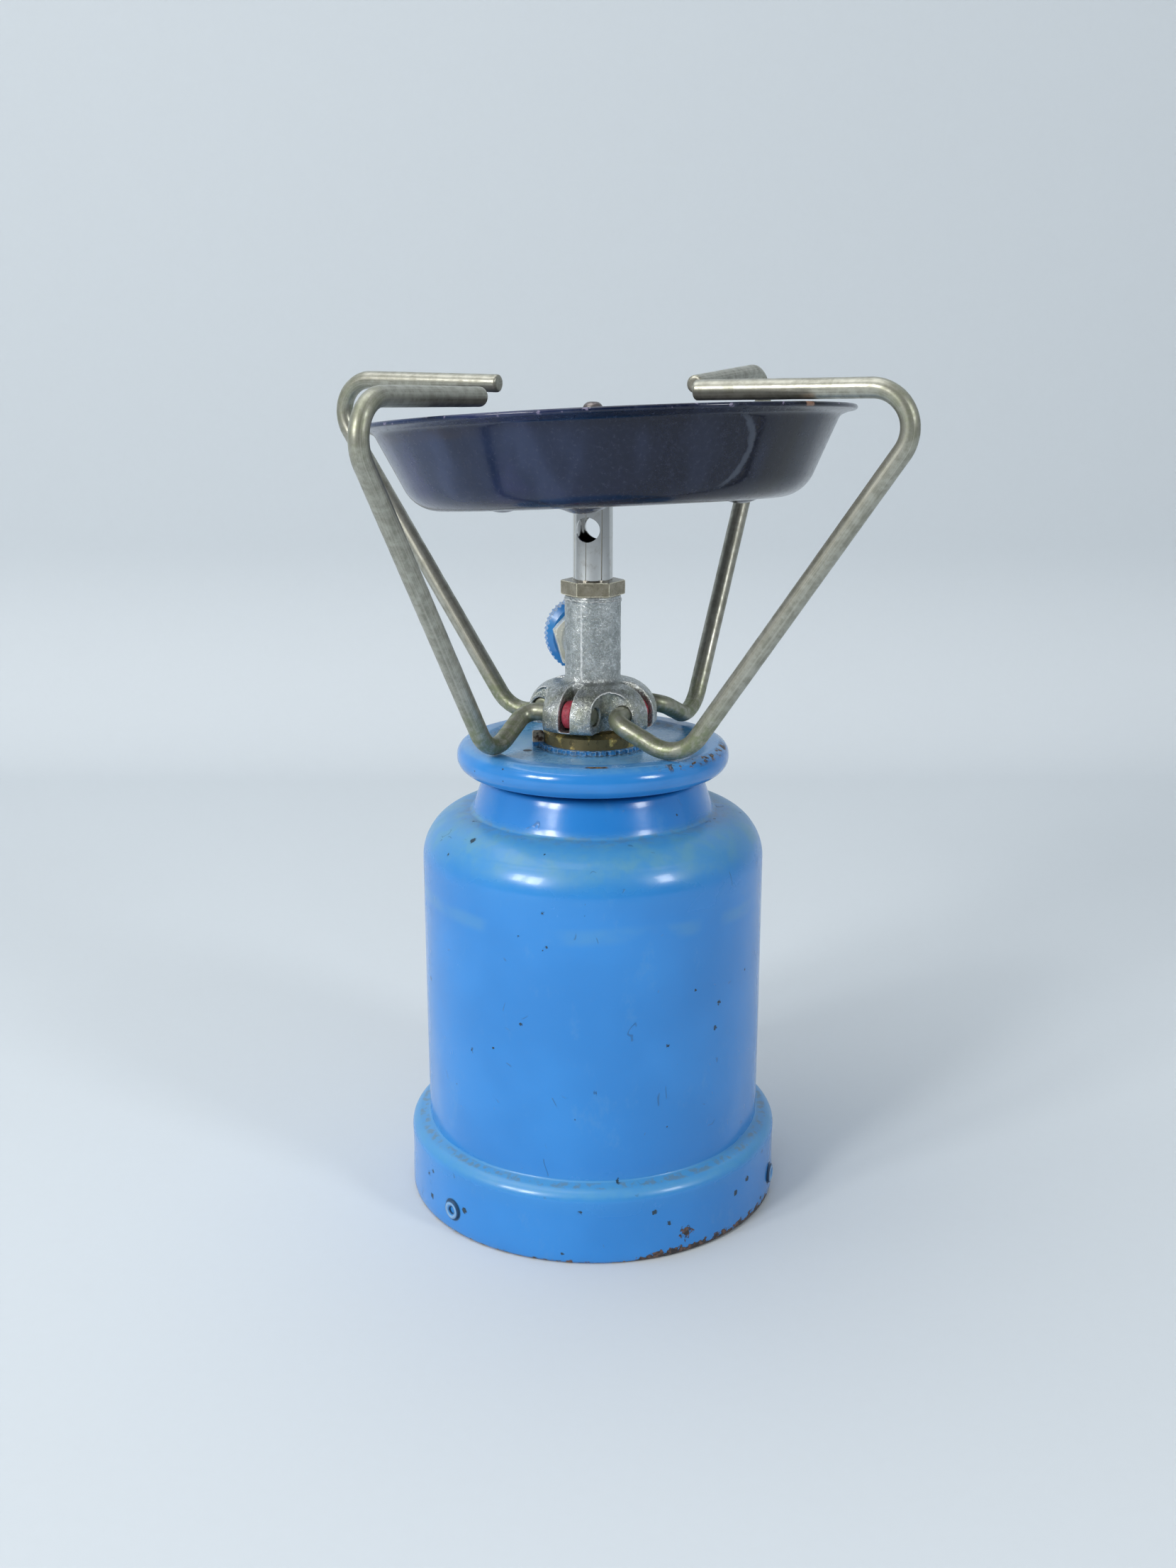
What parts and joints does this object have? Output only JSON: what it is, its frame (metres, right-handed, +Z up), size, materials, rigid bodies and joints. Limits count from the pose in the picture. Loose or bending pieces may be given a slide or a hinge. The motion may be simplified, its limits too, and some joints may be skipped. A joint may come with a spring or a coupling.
{
  "type": "canister stove",
  "caption": "Upright gas stove: a drum housing for a cartridge, a screwed disc head with a side valve knob, a windshield bowl and folding wire pot arms.",
  "frame": {"origin": "centre of the housing's round base, on the plane it stands on", "axes": "+Z up along the housing, disc and burner tube; -Y is the front; the valve knob points to the rear, +Y and slightly -X"},
  "size_m": [0.1505, 0.1442, 0.2303],
  "materials": {
    "blue_enamel": "gloss baked enamel, worn and dusty",
    "knob_enamel": "gloss enamel",
    "bowl_enamel": "blue-black vitreous enamel",
    "arm_nickel": "dull nickel plate, tarnished olive near the bends",
    "zinc_casting": "rough bright die casting",
    "bush_brass": "turned brass, dulled",
    "nut_bronze": "heat-darkened brass",
    "tube_chrome": "polished plate",
    "plain_steel": "bare steel, dull",
    "burner_steel": "heat-greyed steel",
    "rusty_steel": "bare steel with rust",
    "cartridge_lacquer": "satin lacquer on tinplate",
    "sinter_bronze": "matt sintered bronze",
    "black_rubber": "matt",
    "red_rubber": "matt"
  },
  "bodies": {
    "housing_unit": {"housing": "blue_enamel", "neck_ring": "bush_brass", "eyelet_rivets": "blue_enamel", "retaining_lugs": "plain_steel", "gas_cartridge": "cartridge_lacquer"},
    "base_closure": {"base_plate": "plain_steel"},
    "seal_carrier": {"cartridge_seal": "black_rubber"},
    "screwed_head": {"hand_disc": "blue_enamel", "threaded_bush": "bush_brass", "piercing_needle": "plain_steel", "lock_washer": "rusty_steel", "hub_casting": "zinc_casting", "gland_nut": "tube_chrome", "stem_seal": "black_rubber", "jet_filter": "sinter_bronze", "jet": "bush_brass", "tube_nut": "nut_bronze", "burner_tube": "tube_chrome", "bowl_collar": "plain_steel", "burner_base": "burner_steel", "burner_bridge": "burner_steel", "burner_cap": "burner_steel", "cap_screw": "burner_steel"},
    "spindle_slide": {"valve_spindle": "plain_steel"},
    "knob_unit": {"control_knob": "knob_enamel", "knob_screw": "plain_steel"},
    "bowl_unit": {"windshield_bowl": "bowl_enamel"},
    "arm_front_left": {"pot_arm_front_left": "arm_nickel", "friction_ring_front_left": "red_rubber"},
    "arm_front_right": {"pot_arm_front_right": "arm_nickel", "friction_ring_front_right": "red_rubber"},
    "arm_rear_right": {"pot_arm_rear_right": "arm_nickel", "friction_ring_rear_right": "red_rubber"},
    "arm_rear_left": {"pot_arm_rear_left": "arm_nickel", "friction_ring_rear_left": "red_rubber"}
  },
  "joints": [
    {"name": "base_turn", "type": "hinge", "parent": "housing_unit", "child": "base_closure", "pos_m": [0, 0, 0.0041], "axis": [0, 0, 1], "range_deg": [-25, 0]},
    {"name": "head_lift", "type": "slide", "parent": "housing_unit", "child": "seal_carrier", "axis": [0, 0, 1], "range_m": [0, 0.0106]},
    {"name": "head_turn", "type": "hinge", "parent": "seal_carrier", "child": "screwed_head", "pos_m": [0, 0, 0.13], "axis": [0, 0, 1], "range_deg": [0, 2520]},
    {"name": "spindle_travel", "type": "slide", "parent": "screwed_head", "child": "spindle_slide", "axis": [-0.1478, 0.989, 0], "range_m": [0, 0.00112]},
    {"name": "knob_turn", "type": "hinge", "parent": "spindle_slide", "child": "knob_unit", "pos_m": [0, 0, 0.1567], "axis": [-0.1478, 0.989, 0], "range_deg": [0, 540]},
    {"name": "bowl_spin", "type": "hinge", "parent": "screwed_head", "child": "bowl_unit", "pos_m": [0.0044, -0.0015, 0.19475], "axis": [-0.0418, 0.0663, 0.9969], "continuous": true},
    {"name": "fold_front_left", "type": "hinge", "parent": "screwed_head", "child": "arm_front_left", "pos_m": [-0.00566, -0.01115, 0.1398], "axis": [-0.8918, 0.4524, 0], "range_deg": [0, 13.2]},
    {"name": "fold_front_right", "type": "hinge", "parent": "screwed_head", "child": "arm_front_right", "pos_m": [0.01115, -0.00566, 0.1398], "axis": [-0.4524, -0.8918, 0], "range_deg": [0, 12]},
    {"name": "fold_rear_right", "type": "hinge", "parent": "screwed_head", "child": "arm_rear_right", "pos_m": [0.00566, 0.01115, 0.1398], "axis": [0.8918, -0.4524, 0], "range_deg": [-2.4, 7.7]},
    {"name": "fold_rear_left", "type": "hinge", "parent": "screwed_head", "child": "arm_rear_left", "pos_m": [-0.01115, 0.00566, 0.1398], "axis": [0.4524, 0.8918, 0], "range_deg": [0, 12.5]}
  ],
  "couplings": [
    {"joint": "head_lift", "follows": "head_turn", "m_per_rad": 0.00023873},
    {"joint": "knob_turn", "follows": "spindle_travel", "rad_per_m": 8377.6}
  ]
}
